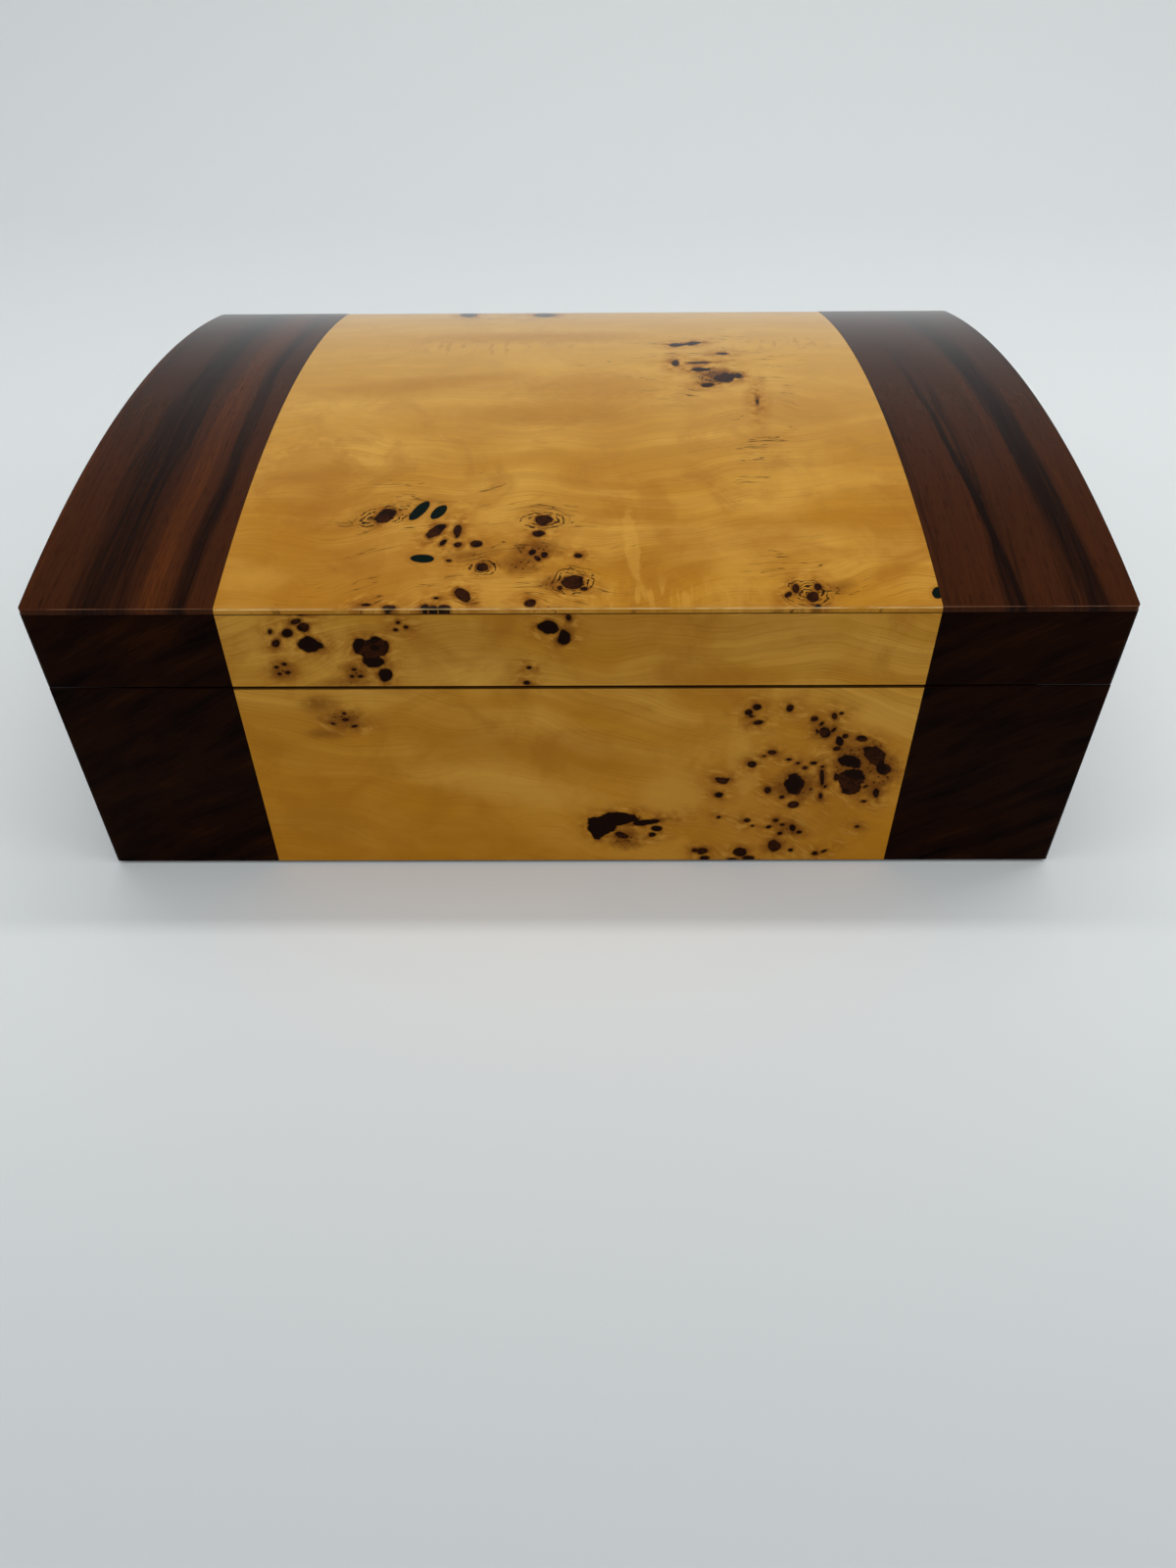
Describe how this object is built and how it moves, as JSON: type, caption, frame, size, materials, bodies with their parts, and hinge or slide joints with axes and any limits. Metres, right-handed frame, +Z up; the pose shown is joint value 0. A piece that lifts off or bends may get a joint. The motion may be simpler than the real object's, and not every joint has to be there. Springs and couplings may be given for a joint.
{
  "type": "keepsake box",
  "caption": "Lacquered wooden keepsake box with a domed lift-up lid on brass quadrant hinges, faced in burl between dark veneer bands and lined inside.",
  "frame": {"origin": "centre of the bounding box on the surface that the box stands on", "axes": "+X along the width to the right of someone facing the front, +Y from front to back, +Z up; the front faces -Y"},
  "size_m": [0.32, 0.2426, 0.1165],
  "materials": {
    "burl_veneer": "pale golden burl veneer under clear high-gloss lacquer",
    "dark_veneer": "dark striped veneer under clear high-gloss lacquer",
    "carcass_wood": "dark stained and lacquered",
    "board_wood": "raw fibreboard",
    "lining_fabric": "brushed suede cloth",
    "underside_felt": "pressed felt",
    "hinge_brass": "polished and lacquered",
    "screw_brass": "polished"
  },
  "bodies": {
    "base": {"base_back_burl": "burl_veneer", "base_back_left_band": "dark_veneer", "base_back_liner": "lining_fabric", "base_back_panel": "carcass_wood", "base_back_right_band": "dark_veneer", "base_felt": "underside_felt", "base_floor_board": "board_wood", "base_floor_pad": "lining_fabric", "base_front_burl": "burl_veneer", "base_front_left_band": "dark_veneer", "base_front_liner": "lining_fabric", "base_front_panel": "carcass_wood", "base_front_right_band": "dark_veneer", "base_hinge_screws": "screw_brass", "base_left_end": "dark_veneer", "base_left_liner": "lining_fabric", "base_left_panel": "carcass_wood", "base_right_end": "dark_veneer", "base_right_liner": "lining_fabric", "base_right_panel": "carcass_wood", "left_hinge_base_leaf": "hinge_brass", "left_hinge_pin": "hinge_brass", "right_hinge_base_leaf": "hinge_brass", "right_hinge_pin": "hinge_brass"},
    "lid": {"left_hinge_lid_leaf": "hinge_brass", "lid_back_burl": "burl_veneer", "lid_back_left_band": "dark_veneer", "lid_back_rail": "carcass_wood", "lid_back_right_band": "dark_veneer", "lid_crown_board": "board_wood", "lid_front_burl": "burl_veneer", "lid_front_left_band": "dark_veneer", "lid_front_rail": "carcass_wood", "lid_front_right_band": "dark_veneer", "lid_hinge_screws": "screw_brass", "lid_left_end": "dark_veneer", "lid_left_rail": "carcass_wood", "lid_lining": "lining_fabric", "lid_right_end": "dark_veneer", "lid_right_rail": "carcass_wood", "lid_top_burl": "burl_veneer", "lid_top_left_band": "dark_veneer", "lid_top_right_band": "dark_veneer", "right_hinge_lid_leaf": "hinge_brass"},
    "left_stay": {"left_hinge_stay": "hinge_brass"},
    "right_stay": {"right_hinge_stay": "hinge_brass"}
  },
  "joints": [
    {"name": "lid_hinge", "type": "hinge", "parent": "base", "child": "lid", "pos_m": [0, 0.11875, 0.07525], "axis": [-1, 0, 0], "range_deg": [0, 95]},
    {"name": "left_stay_swing", "type": "hinge", "parent": "base", "child": "left_stay", "pos_m": [-0.15325, 0.11875, 0.07525], "axis": [-1, 0, 0], "range_deg": [0, 47.5]},
    {"name": "right_stay_swing", "type": "hinge", "parent": "base", "child": "right_stay", "pos_m": [0.15325, 0.11875, 0.07525], "axis": [-1, 0, 0], "range_deg": [0, 47.5]}
  ],
  "couplings": [
    {"joint": "left_stay_swing", "follows": "lid_hinge", "ratio": 0.5},
    {"joint": "right_stay_swing", "follows": "lid_hinge", "ratio": 0.5}
  ]
}
